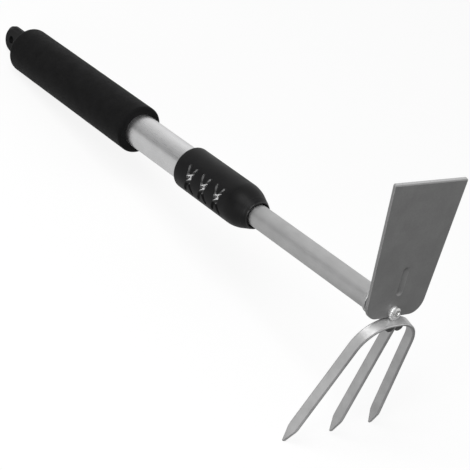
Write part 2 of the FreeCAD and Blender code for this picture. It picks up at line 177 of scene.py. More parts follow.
class HoeSizes(bpy.types.PropertyGroup):
    """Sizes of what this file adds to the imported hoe."""

    foam_rounding: FloatProperty(
        name="Foam end rounding", description="Radius of the foam sleeve's end edges",
        default=2.2 * MM, unit="LENGTH")
    foam_unevenness: FloatProperty(
        name="Foam unevenness", description="How far the foam's skin wanders in and out",
        default=0.07 * MM, unit="LENGTH")
    foam_wander: FloatProperty(
        name="Foam wander", description="Distance between the foam skin's shallow dips",
        default=7.0 * MM, unit="LENGTH")
    foam_cell: FloatProperty(
        name="Foam cell", description="Size of one pore in the foam",
        default=0.8 * MM, unit="LENGTH")
    plastic_grain: FloatProperty(
        name="Plastic grain", description="Size of the moulded plastic's fine texture",
        default=0.45 * MM, unit="LENGTH")
    crimp_back: FloatProperty(
        name="Crimp back", description="From the blade's back to the middle of the inner tube's crimp",
        default=15.6 * MM, unit="LENGTH")
    crimp_width: FloatProperty(
        name="Crimp width", description="Width of the inner tube's crimped ridge",
        default=2.4 * MM, unit="LENGTH")
    crimp_rise: FloatProperty(
        name="Crimp rise", description="How far the crimped ridge stands out",
        default=0.3 * MM, unit="LENGTH")
    drawn_line: FloatProperty(
        name="Drawn line", description="Width of the fine lines left along a drawn tube",
        default=0.25 * MM, unit="LENGTH")
    sheet_mottle: FloatProperty(
        name="Sheet mottle", description="Size of the rolled sheet's cloudy patches",
        default=11.0 * MM, unit="LENGTH")
    ground_edge: FloatProperty(
        name="Ground edge", description="Height of the bright ground band on the blade",
        default=0.8 * MM, unit="LENGTH")
    grinding_line: FloatProperty(
        name="Grinding line", description="Width of one grinding mark on the ground band",
        default=0.3 * MM, unit="LENGTH")
    # Also how far the painted shade on the fork's edges reaches in.
    edge_tone_reach: FloatProperty(
        name="Edge tone reach", description="How far wear or painted edge shade reaches in from an edge",
        default=0.35 * MM, unit="LENGTH")
    collar_rear_rounding: FloatProperty(
        name="Collar rear rounding", description="Radius of the collar's rear edge",
        default=1.2 * MM, unit="LENGTH")
    collar_shoulder: FloatProperty(
        name="Collar shoulder", description="How far the turn into the taper reaches each way",
        default=4.5 * MM, unit="LENGTH")
    collar_taper: FloatProperty(
        name="Collar taper", description="Length of the collar's tapered front",
        default=13.9 * MM, unit="LENGTH")
    collar_nose: FloatProperty(
        name="Collar nose", description="Diameter of the collar's front end",
        default=20.4 * MM, unit="LENGTH")
    collar_rim: FloatProperty(
        name="Collar rim", description="Radius of the polished rim at the collar's mouth",
        default=0.6 * MM, unit="LENGTH")
    cross_count: IntProperty(
        name="Crosses", description="Crossed grooves in the row on each side of the collar",
        default=3, min=1)
    cross_first: FloatProperty(
        name="First cross", description="From the collar's rear end to the first cross",
        default=17.5 * MM, unit="LENGTH")
    cross_pitch: FloatProperty(
        name="Cross pitch", description="Distance between the crosses of a row",
        default=15.5 * MM, unit="LENGTH")
    cross_length: FloatProperty(
        name="Cross length", description="Size of a cross along the handle",
        default=8.8 * MM, unit="LENGTH")
    cross_reach: FloatProperty(
        name="Cross reach", description="Size of a cross round the collar",
        default=19.4 * MM, unit="LENGTH")
    groove_half_width: FloatProperty(
        name="Groove half width", description="From a groove's bottom line to its lip",
        default=1.4 * MM, unit="LENGTH")
    groove_depth: FloatProperty(
        name="Groove depth", description="Depth of a groove's bottom line",
        default=0.95 * MM, unit="LENGTH")
    cross_swell: FloatProperty(
        name="Cross swell", description="How much wider and deeper the grooves are where they cross",
        default=0.9, subtype="FACTOR")
    cross_swell_reach: FloatProperty(
        name="Cross swell reach", description="How far from the crossing the grooves are widened",
        default=3.2 * MM, unit="LENGTH")
    groove_bottom: FloatProperty(
        name="Groove bottom", description="Share of a groove's width that its rounded bottom takes",
        default=0.18, subtype="FACTOR")
    # Painted shade: the tines are darker near the arch and lighter further down.
    arch_shade_fade_start: FloatProperty(
        name="Arch shade fade start", description="How far below the handle's axis the painted arch shade starts to fade",
        default=20.0 * MM, unit="LENGTH")
    arch_shade_fade_end: FloatProperty(
        name="Arch shade fade end", description="How far below the handle's axis the steel is bright",
        default=90.0 * MM, unit="LENGTH")
    # Where the painted glint lies: a bright hourglass put on the groove faces round each crossing, in
    # place of the light that the grooves catch there.
    painted_glint_lift: FloatProperty(
        name="Painted glint lift", description="How far a crossing's bright mark lies above the crossing",
        default=1.6 * MM, unit="LENGTH")
    painted_glint_half_height: FloatProperty(
        name="Painted glint half height", description="From a bright mark's waist to its end",
        default=2.0 * MM, unit="LENGTH")
    painted_glint_waist: FloatProperty(
        name="Painted glint waist", description="Half width of a bright mark where it is narrowest",
        default=0.6 * MM, unit="LENGTH")
    painted_glint_end: FloatProperty(
        name="Painted glint end", description="Half width of a bright mark at its ends",
        default=2.9 * MM, unit="LENGTH")
    painted_glint_lean: FloatProperty(
        name="Painted glint lean", description="How much a bright mark's ends climb towards the front",
        default=0.58, subtype="FACTOR")
    weld_ripple: FloatProperty(
        name="Weld ripple", description="Distance between a weld bead's ripples",
        default=1.1 * MM, unit="LENGTH")
    weld_ripple_height: FloatProperty(
        name="Weld ripple height", description="How far a ripple stands out, as a share of the bead",
        default=0.11, subtype="FACTOR")
    tine_bead_lead: FloatProperty(
        name="Tine bead lead", description="How far the tine beads reach past the plain ones",
        default=0.6 * MM, unit="LENGTH")
    stud_bead_width: FloatProperty(
        name="Stud bead width", description="How far the bead round the stud reaches along it",
        default=1.7 * MM, unit="LENGTH")
    stud_bead_height: FloatProperty(
        name="Stud bead height", description="How far the bead stands out from the stud",
        default=1.1 * MM, unit="LENGTH")
    stud_bead_root: FloatProperty(
        name="Stud bead root", description="How much thicker the bead is below the stud",
        default=0.7, subtype="FACTOR")
    blade_bead: FloatProperty(
        name="Blade bead", description="Radius of the bead round the tube behind the blade",
        default=1.15 * MM, unit="LENGTH")
    tine_sweep: FloatProperty(
        name="Fork sweep", description="Angle between the fork and a square to the handle",
        default=math.radians(15.4), subtype="ANGLE")


class HoeColours(bpy.types.PropertyGroup):
    """Colours of the hoe's finishes."""

    foam: FloatVectorProperty(
        name="Foam", description="Black closed-cell foam",
        default=(0.005, 0.005, 0.0052), subtype="COLOR", min=0, max=1)
    plastic: FloatVectorProperty(
        name="Plastic", description="Black moulded plastic of the collar and the end cap",
        default=(0.006, 0.006, 0.0063), subtype="COLOR", min=0, max=1)
    # Darker than the collar's plastic: painted shade in the lower grooves.
    groove: FloatVectorProperty(
        name="Groove plastic with painted shade", description="The unpolished lower grooves of the collar",
        default=(0.002, 0.002, 0.0021), subtype="COLOR", min=0, max=1)
    # Colour of the painted glint on each crossing of the collar.
    mark: FloatVectorProperty(
        name="Painted crossing glint", description="The bright mark at each crossing of the collar",
        default=(0.76, 0.76, 0.76), subtype="COLOR", min=0, max=1)
    collet: FloatVectorProperty(
        name="Collet plastic", description="Grey plastic of the hidden collet, ring and guide",
        default=(0.2, 0.2, 0.205), subtype="COLOR", min=0, max=1)
    outer_tube: FloatVectorProperty(
        name="Outer tube", description="Satin aluminium",
        default=(0.85, 0.85, 0.855), subtype="COLOR", min=0, max=1)
    inner_tube: FloatVectorProperty(
        name="Inner tube", description="Grey drawn steel",
        default=(0.58, 0.58, 0.58), subtype="COLOR", min=0, max=1)
    blade: FloatVectorProperty(
        name="Blade", description="Dull rolled steel sheet",
        default=(0.36, 0.36, 0.36), subtype="COLOR", min=0, max=1)
    ground: FloatVectorProperty(
        name="Ground steel", description="Freshly ground steel on the blade's edge",
        default=(0.62, 0.62, 0.62), subtype="COLOR", min=0, max=1)
    tines: FloatVectorProperty(
        name="Tines", description="Grey steel strip of the fork",
        default=(0.66, 0.66, 0.66), subtype="COLOR", min=0, max=1)
    plated: FloatVectorProperty(
        name="Plated steel", description="Bright steel of the stud, pins and ring",
        default=(0.88, 0.88, 0.87), subtype="COLOR", min=0, max=1)
    weld: FloatVectorProperty(
        name="Weld", description="Dull grey weld metal",
        default=(0.2, 0.2, 0.2), subtype="COLOR", min=0, max=1)
    bright_weld: FloatVectorProperty(
        name="Bright weld", description="Clean weld metal round the stud",
        default=(0.95, 0.95, 0.95), subtype="COLOR", min=0, max=1)


class HoeStudio(bpy.types.PropertyGroup):
    """The studio round the hoe."""

    camera_place: FloatVectorProperty(
        name="Camera place", description="Where the camera stands",
        default=(0.726, -0.7169, 0.6368), subtype="XYZ", unit="LENGTH")
    camera_aim: FloatVectorProperty(
        name="Camera aim", description="The point in the middle of the picture",
        default=(0.0375, 0.0449, 0.0132), subtype="XYZ", unit="LENGTH")
    camera_roll: FloatProperty(
        name="Camera roll", description="How far the camera leans about its own line of sight",
        default=math.radians(23.52), subtype="ANGLE")
    lens: FloatProperty(
        name="Lens", description="Focal length on a 36 mm wide sensor",
        default=128.0, unit="CAMERA")
    floor_size: FloatProperty(
        name="Floor size", description="Side of the pale floor",
        default=8.0, unit="LENGTH")
    floor_grey: FloatProperty(
        name="Floor grey", description="How much of the lamps' light the floor gives back",
        default=0.18, subtype="FACTOR")
    floor_glow: FloatProperty(
        name="Floor glow", description="Plain white that the camera sees on the floor besides",
        default=0.86, subtype="FACTOR")
    floor_in_metal: FloatProperty(
        name="Floor in metal", description="Plain white that polished metal sees on the floor",
        default=0.47, subtype="FACTOR")
    floor_ahead: FloatProperty(
        name="Floor ahead", description="The same for the dimmer floor in front of the blade",
        default=0.05, subtype="FACTOR")
    room_light: FloatProperty(
        name="Room light", description="Even light from all round",
        default=0.32, subtype="FACTOR")
    bright_side: FloatProperty(
        name="Bright side", description="How bright polished metal sees the studio's bright side",
        default=0.8, subtype="FACTOR")
    dim_side: FloatProperty(
        name="Dim side", description="How bright polished metal sees the studio's dim side",
        default=0.26, subtype="FACTOR")
    back_light: FloatProperty(
        name="Back light", description="How bright polished metal sees the studio behind the grip",
        default=1.45, subtype="FACTOR")
    key_power: FloatProperty(
        name="Key lamp", description="Strength of the large lamp above and in front",
        default=15.0, unit="POWER")
    fill_power: FloatProperty(
        name="Fill lamp", description="Strength of the small low lamp in front",
        default=5.0, unit="POWER")


# Short ways to build node trees


def add(tree, kind, inputs=None, **settings):
    """Add a shader node. An input is either a value or another node's socket."""
    made = tree.nodes.new("ShaderNode" + kind)
    for name, value in settings.items():
        setattr(made, name, value)
    for name, value in (inputs or {}).items():
        if isinstance(value, bpy.types.NodeSocket):
            tree.links.new(value, made.inputs[name])
        else:
            made.inputs[name].default_value = value
    return made


def start_material(name):
    """A new material with an empty node tree."""
    material = bpy.data.materials.new(name)
    material.use_nodes = True
    material.node_tree.nodes.clear()
    return material, material.node_tree


def show(material, shader):
    """Make a shader node what the material shows."""
    add(material.node_tree, "OutputMaterial", {"Surface": shader.outputs[0]})
    return material


def handle_place(tree):
    """Where a point lies along the handle, to its left and above it."""
    place = add(tree, "TexCoord").outputs["Object"]
    mapping = add(tree, "Mapping", {
        "Vector": place,
        "Location": COLLAR_REAR,
        "Rotation": (0, -LIFT, 0),
    }, vector_type="TEXTURE")
    return mapping.outputs["Vector"]


def part_of(tree, vector, direction):
    """One direction's part of a vector."""
    return add(tree, "SeparateXYZ", {"Vector": vector}).outputs[direction]


def stretched(tree, place, stretch, turn=0.0):
    """A place stretched along each direction, after a turn about the sideways one."""
    turned = add(tree, "Mapping", {"Vector": place, "Rotation": (0, turn, 0)}).outputs["Vector"]
    return add(tree, "Mapping", {
        "Vector": turned,
        "Scale": [1 / size for size in stretch],
    }).outputs["Vector"]


def speckle(tree, place, size, detail=3.0):
    """Soft noise whose spots have the given size."""
    return add(tree, "TexNoise", {
        "Vector": place, "Scale": 1 / size, "Detail": detail}).outputs["Fac"]


def between(tree, value, low=0.0, high=1.0, start=0.3, end=0.7):
    """A number that goes from low to high while the given one goes from start to end."""
    return add(tree, "MapRange", {
        "Value": value, "From Min": start, "From Max": end,
        "To Min": low, "To Max": high}).outputs["Result"]


def maths(tree, operation, first, second):
    """A number worked out from two others."""
    return add(tree, "Math", {0: first, 1: second}, operation=operation).outputs[0]


def blend_numbers(tree, share, first, second):
    """A number between two others."""
    low, high = MIX_NUMBERS
    mix = add(tree, "Mix", {MIX_SHARE: share, low: first, high: second}, data_type="FLOAT")
    return mix.outputs[0]


def blend_colours(tree, share, first, second):
    """A colour between two others."""
    low, high = MIX_COLOURS
    mix = add(tree, "Mix", {MIX_SHARE: share, low: first, high: second}, data_type="RGBA")
    return mix.outputs[MIX_COLOUR_RESULT]


def rgba(colour, tone=1.0):
    """A stored colour with full cover, made lighter or darker."""
    return [min(channel * tone, 1) for channel in colour] + [1]


def toned(tree, share, colour, start, end):
    """A colour that goes from one tone of itself to another."""
    return blend_colours(tree, share, rgba(colour, start), rgba(colour, end))


def bump(tree, height, distance, strength, below=None):
    """A surface direction raised and sunk by a height map."""
    inputs = {"Height": height, "Distance": distance, "Strength": strength}
    if below is not None:
        inputs["Normal"] = below
    return add(tree, "Bump", inputs).outputs["Normal"]


def sharp_edge_mask(tree, reach):
    """A mask that is strong close to a piece's sharp edges."""
    soft = add(tree, "Bevel", {"Radius": reach}, samples=BEVEL_SAMPLES).outputs["Normal"]
    flat = add(tree, "NewGeometry").outputs["Normal"]
    match = add(tree, "VectorMath", {0: soft, 1: flat}, operation="DOT_PRODUCT")
    return between(tree, match.outputs["Value"], 1, 0, start=0.86, end=0.99)


# Materials


def foam_material():
    """Black closed-cell foam: fine pores, dull, slightly uneven in tone."""
    sizes, colours = bpy.context.scene.hoe_sizes, bpy.context.scene.hoe_colours
    material, tree = start_material("closed_cell_foam")
    place = handle_place(tree)
    cells = add(tree, "TexVoronoi", {"Vector": place, "Scale": 1 / sizes.foam_cell})
    depth = cells.outputs["Distance"]
    pore = between(tree, depth, 1, 0, start=0.1, end=0.75)
    clouds = speckle(tree, place, sizes.foam_wander)
    tone = between(tree, maths(tree, "MULTIPLY", pore, clouds), start=0.1, end=0.6)
    grain = speckle(tree, place, sizes.foam_cell / 2)
    skin = bump(tree, depth, distance=0.12 * MM, strength=0.55)
    return show(material, add(tree, "BsdfPrincipled", {
        "Base Color": toned(tree, tone, colours.foam, start=1.4, end=0.8),
        "Roughness": between(tree, clouds, low=0.78, high=0.92),
        "Specular IOR Level": 0.12,
        "Sheen Weight": 0.13,
        "Sheen Roughness": 0.4,
        "Normal": bump(tree, grain, distance=0.05 * MM, strength=0.5, below=skin),
    }))


def plastic_material(name, colour, roughness, smoother=0.05, rougher=0.07):
    """Moulded plastic with a fine grain and a cloudy tone, rubbed a little paler on its edges."""
    sizes = bpy.context.scene.hoe_sizes
    material, tree = start_material(name)
    place = handle_place(tree)
    grain = speckle(tree, place, sizes.plastic_grain)
    clouds = speckle(tree, place, PLASTIC_CLOUD, detail=2)
    plain = toned(tree, between(tree, clouds), colour, start=0.85, end=1.2)
    scuffed = maths(tree, "MULTIPLY", sharp_edge_mask(tree, sizes.edge_tone_reach), clouds)
    return show(material, add(tree, "BsdfPrincipled", {
        "Base Color": blend_colours(tree, scuffed, plain, rgba(colour, tone=2.6)),
        "Roughness": between(tree, clouds, roughness - smoother, roughness + rougher),
        "Specular IOR Level": 0.18,
        "Normal": bump(tree, grain, distance=0.03 * MM, strength=0.35),
    }))


def polished_plastic(colour):
    """The same plastic where the mould was polished: smooth, with a faint haze."""
    material, tree = start_material("black_polished_plastic")
    haze = speckle(tree, handle_place(tree), PLASTIC_HAZE)
    return show(material, add(tree, "BsdfPrincipled", {
        "Base Color": toned(tree, between(tree, haze), colour, start=0.8, end=1.3),
        "Roughness": between(tree, haze, low=0.26, high=0.34),
        "Specular IOR Level": 0.5,
        "Normal": bump(tree, haze, distance=0.004 * MM, strength=0.2),
    }))


def drawn_metal(name, colour, roughness, stretch=EVEN, turn=0.0, metallic=1.0, mottle=0.12,
                foot_tone=1.0, edge_tone=1.35, edge_cover=0.5, edge_reach=1.0,
                line_cover=0.35, smoother=0.05, rougher=0.08):
    """Metal with fine lines along one direction and a cloudy tone.

    The tone changes towards foot_tone on the way down the tines; on the fork this is painted shade
    near the arch. Sharp edges have edge_tone, as strongly as edge_cover says, over edge_reach times
    the usual width: a tone above 1 is rubbed wear, one below 1 is painted shade.
    """
    sizes = bpy.context.scene.hoe_sizes
    material, tree = start_material(name)
    place = handle_place(tree)
    lines = speckle(tree, stretched(tree, place, stretch, turn), sizes.drawn_line, detail=4)
    clouds = speckle(tree, place, sizes.sheet_mottle)
    cloudy = toned(tree, between(tree, clouds), colour, start=1 - mottle, end=1 + mottle)
    lined = blend_colours(tree, between(tree, lines, high=line_cover), cloudy,
                          rgba(colour, tone=1 - 2 * mottle))
    # Painted shade under the arch: the tone changes towards foot_tone on the way down the tines.
    foot = between(tree, part_of(tree, place, "Z"), foot_tone, 1,
                   start=-sizes.arch_shade_fade_end, end=-sizes.arch_shade_fade_start)
    lined = add(tree, "VectorMath", {0: lined, "Scale": foot}, operation="SCALE").outputs[0]
    # Edges lighter than the metal are rubbed wear; darker ones, as on the fork, are painted shade.
    near_edge = maths(tree, "MULTIPLY", sharp_edge_mask(tree, sizes.edge_tone_reach * edge_reach), edge_cover)
    return show(material, add(tree, "BsdfPrincipled", {
        "Base Color": blend_colours(tree, near_edge, lined, rgba(colour, edge_tone)),
        "Metallic": metallic,
        "Roughness": between(tree, lines, roughness - smoother, roughness + rougher),
        "Normal": bump(tree, lines, distance=0.01 * MM, strength=0.5),
    }))


def blade_material(blade_top):
    """Dull rolled sheet with a bright ground band along its upper edge."""
    sizes, colours = bpy.context.scene.hoe_sizes, bpy.context.scene.hoe_colours
    material, tree = start_material("rolled_sheet_with_ground_edge")
    place = handle_place(tree)
    band_foot = blade_top - sizes.ground_edge
    band = between(tree, part_of(tree, place, "Z"),
                   start=band_foot, end=band_foot + GROUND_BLUR)
    clouds = speckle(tree, place, sizes.sheet_mottle, detail=4)
    specks = speckle(tree, place, sizes.sheet_mottle / SPECKS_PER_PATCH)
    rolled = speckle(tree, stretched(tree, place, ROLLING_LINES), sizes.drawn_line)
    marks = speckle(tree, stretched(tree, place, GRINDING_LINES, GRINDING_SLANT),
                    sizes.grinding_line, detail=2)
    near_edge = sharp_edge_mask(tree, sizes.edge_tone_reach)
    sheet = toned(tree, between(tree, clouds), colours.blade, start=0.93, end=1.07)
    sheet = blend_colours(tree, between(tree, specks, high=0.3), sheet,
                          rgba(colours.blade, tone=0.88))
    sheet = blend_colours(tree, near_edge, sheet, rgba(colours.blade, tone=1.8))
    ground = toned(tree, between(tree, marks), colours.ground, start=0.85, end=1.1)
    rough_sheet = between(tree, specks, low=0.54, high=0.62)
    rough_ground = between(tree, marks, low=0.25, high=0.4)
    skin = bump(tree, clouds, distance=0.06 * MM, strength=0.4)
    skin = bump(tree, specks, distance=0.02 * MM, strength=0.4, below=skin)
    skin = bump(tree, rolled, distance=0.008 * MM, strength=0.5, below=skin)
    return show(material, add(tree, "BsdfPrincipled", {
        "Base Color": blend_colours(tree, band, sheet, ground),
        "Metallic": 0.9,
        "Roughness": blend_numbers(tree, band, rough_sheet, rough_ground),
        "Normal": skin,
    }))


def weld_material(name, colour):
    """Weld metal: dull, with darker heat stain and fine spatter."""
    material, tree = start_material(name)
    place = handle_place(tree)
    stain = speckle(tree, place, WELD_STAIN)
    grit = speckle(tree, place, WELD_GRIT)
    return show(material, add(tree, "BsdfPrincipled", {
        "Base Color": toned(tree, between(tree, stain), colour, start=0.6, end=1.3),
        "Metallic": 0.85,
        "Roughness": between(tree, grit, low=0.42, high=0.68),
        "Normal": bump(tree, grit, distance=0.06 * MM, strength=0.6),
    }))


# Meshes


def smooth(mesh, crease):
    """Smooth a mesh, apart from the edges that turn by more than the crease angle."""
    mesh.polygons.foreach_set("use_smooth", [True] * len(mesh.polygons))
    mesh.set_sharp_from_angle(angle=crease)


def finish_node(node, material, crease=FINE_CREASE):
    """Give a CAD node its material and smooth its rounded faces."""
    mesh = frame["nodes"][node].data
    mesh.materials.clear()
    mesh.materials.append(material)
    smooth(mesh, crease)


def new_mesh(name, builder, material):
    """A named mesh from a bmesh, with its material."""
    mesh = bpy.data.meshes.new(name)
    builder.to_mesh(mesh)
    builder.free()
    mesh.materials.append(material)
    return mesh


def put_in_scene(name, data):
    """A new object in the scene that holds a mesh, a lamp or a camera."""
    made = bpy.data.objects.new(name, data)
    bpy.context.scene.collection.objects.link(made)
    return made


def new_piece(name, builder, material, body):
    """A piece made from a bmesh drawn in the handle's space, riding on a body."""
    builder.transform(HANDLE)
    bmesh.ops.recalc_face_normals(builder, faces=builder.faces)
    mesh = new_mesh(name, builder, material)
    smooth(mesh, COARSE_CREASE)
    piece = put_in_scene(name, mesh)
    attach(piece, body)
    return piece


def join_rings(builder, rings, closed):
    """Faces between rings of vertices, from each ring to the next."""
    pairs = list(zip(rings, rings[1:]))
    if closed:
        pairs.append((rings[-1], rings[0]))
    for one, other in pairs:
        count = len(one)
        for number in range(count):
            after = (number + 1) % count
            builder.faces.new((one[number], one[after], other[after], other[number]))


def spread(start, end, steps):
    """Numbers from one to another, both kept, in even steps."""
    return [start + (end - start) * number / steps for number in range(steps + 1)]


def even_angles(count):
    """That many angles, evenly spread round a turn."""
    return spread(0, FULL_TURN, count)[:-1]


def steps_between(start, end, step):
    """Numbers from one to another, both left out, about a step apart."""
    return spread(start, end, max(round((end - start) / step), 1))[1:-1]


def quarter_round(corner, rear, front, steps=6):
    """Points that round an outline's corner, whose ends lie the given steps before and after it."""
    points = []
    for turn in spread(0, math.pi / 2, steps):
        into, out = 1 - math.sin(turn), 1 - math.cos(turn)
        points.append((corner[0] + rear[0] * into + front[0] * out,
                       corner[1] + rear[1] * into + front[1] * out))
    return points


def arc(station, radius, height, first, last, steps):
    """Points round a line that runs along the handle at a height, from one angle to another."""
    return [Vector((station, radius * math.cos(angle), height + radius * math.sin(angle)))
            for angle in spread(first, last, steps)]


def revolved(outline, angles):
    """A closed ring-shaped mesh from an outline of (station, radius) points."""
    builder = bmesh.new()
    rings = []
    for station, radius in outline:
        rings.append([builder.verts.new((station, radius * math.cos(angle), radius * math.sin(angle)))
                      for angle in angles])
    join_rings(builder, rings, closed=True)
    return builder


def swept_bead(path, reference, radius_at, sides=16):
    """A closed bead round a path of points.

    reference gives the bead's outward direction at a point of the path, and radius_at gives its
    radii across and along that direction at a share of the path's length.
    """
    builder = bmesh.new()
    rings = []
    last = len(path) - 1
    for number, point in enumerate(path):
        forward = (path[min(number + 1, last)] - path[max(number - 1, 0)]).normalized()
        first = (reference(point) - forward * reference(point).dot(forward)).normalized()
        second = forward.cross(first)
        wide, high = radius_at(number / last)
        rings.append([builder.verts.new(point + first * high * math.cos(angle)
                                        + second * wide * math.sin(angle))
                      for angle in even_angles(sides)])
    join_rings(builder, rings, closed=False)
    builder.faces.new(rings[0])
    builder.faces.new(rings[-1])
    return builder


def ripple(share, length, fewest=2, bluntness=8, end_size=0.2, mean_wave=0.6):
    """How a weld bead swells and sinks along its length, and closes at its ends."""
    sizes = bpy.context.scene.hoe_sizes
    count = max(round(length / sizes.weld_ripple), fewest)
    wave = abs(math.sin(math.pi * share * count))
    ends = math.sqrt(max(1 - (2 * share - 1) ** bluntness, end_size ** 2))
    return ends * (1 + sizes.weld_ripple_height * (wave - mean_wave))


# Pieces


class HOE_OT_foam_sleeve(bpy.types.Operator):
    """Foam sleeve that stands in for the plain grip"""

    bl_idname = "hoe.foam_sleeve"
    bl_label = "Foam Sleeve"

    def execute(self, context):
        sizes = context.scene.hoe_sizes
        points = on_handle("foam_grip")
        rear, front = span(points)
        bore, outer = radii(points)
        bore += FOAM_BORE_GAP
        rounding = sizes.foam_rounding
        inward = (0, -rounding)
        outline = [(rear, bore)]
        outline += quarter_round((rear, outer), inward, (rounding, 0))
        outline += [(station, outer) for station in steps_between(
            rear + rounding, front - rounding, FOAM_RING_PITCH)]
        outline += quarter_round((front, outer), (-rounding, 0), inward)
        outline.append((front, bore))
        builder = revolved(outline, even_angles(FOAM_SIDES))
        for vertex in builder.verts:
            distance = math.hypot(vertex.co.y, vertex.co.z)
            if distance > bore + FOAM_BORE_GAP:
                wander = noise.noise(vertex.co / sizes.foam_wander) * sizes.foam_unevenness
                vertex.co.y *= 1 + wander / distance
                vertex.co.z *= 1 + wander / distance
        sleeve = new_piece("foam_sleeve", builder, foam_material(), "handle")
        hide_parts("foam_grip")
        return {"FINISHED"}


class HOE_OT_tubes(bpy.types.Operator):
    """Satin outer tube, and grey inner tube with its crimp"""

    bl_idname = "hoe.tubes"
    bl_label = "Tubes"

    def crimp(self, sizes, metal):
        """The low ridge round the inner tube, behind the blade."""
        surface = radii(on_handle("inner_tube"))[1]
        middle = span(on_handle("blade_weld"))[1] - sizes.crimp_back
        half, rise = sizes.crimp_width / 2, sizes.crimp_rise
        outline = [(middle - half, surface)]
        outline += quarter_round((middle - half, surface + rise), (0, -rise), (half, 0))
        outline += quarter_round((middle + half, surface + rise), (-half, 0), (0, -rise))
        outline.append((middle, surface - rise))
        builder = revolved(outline, even_angles(CRIMP_SIDES))
        new_piece("tube_crimp", builder, metal, "head")

    def execute(self, context):
        sizes, colours = context.scene.hoe_sizes, context.scene.hoe_colours
        satin = drawn_metal("satin_aluminium", colours.outer_tube, roughness=0.3,
                            stretch=DRAWN_LENGTHWISE, mottle=0.05)
        steel = drawn_metal("drawn_steel", colours.inner_tube, roughness=0.48,
                            stretch=DRAWN_LENGTHWISE, mottle=0.06)
        finish_node("outer_tube", satin)
        finish_node("inner_tube", steel)
        self.crimp(sizes, steel)
        return {"FINISHED"}


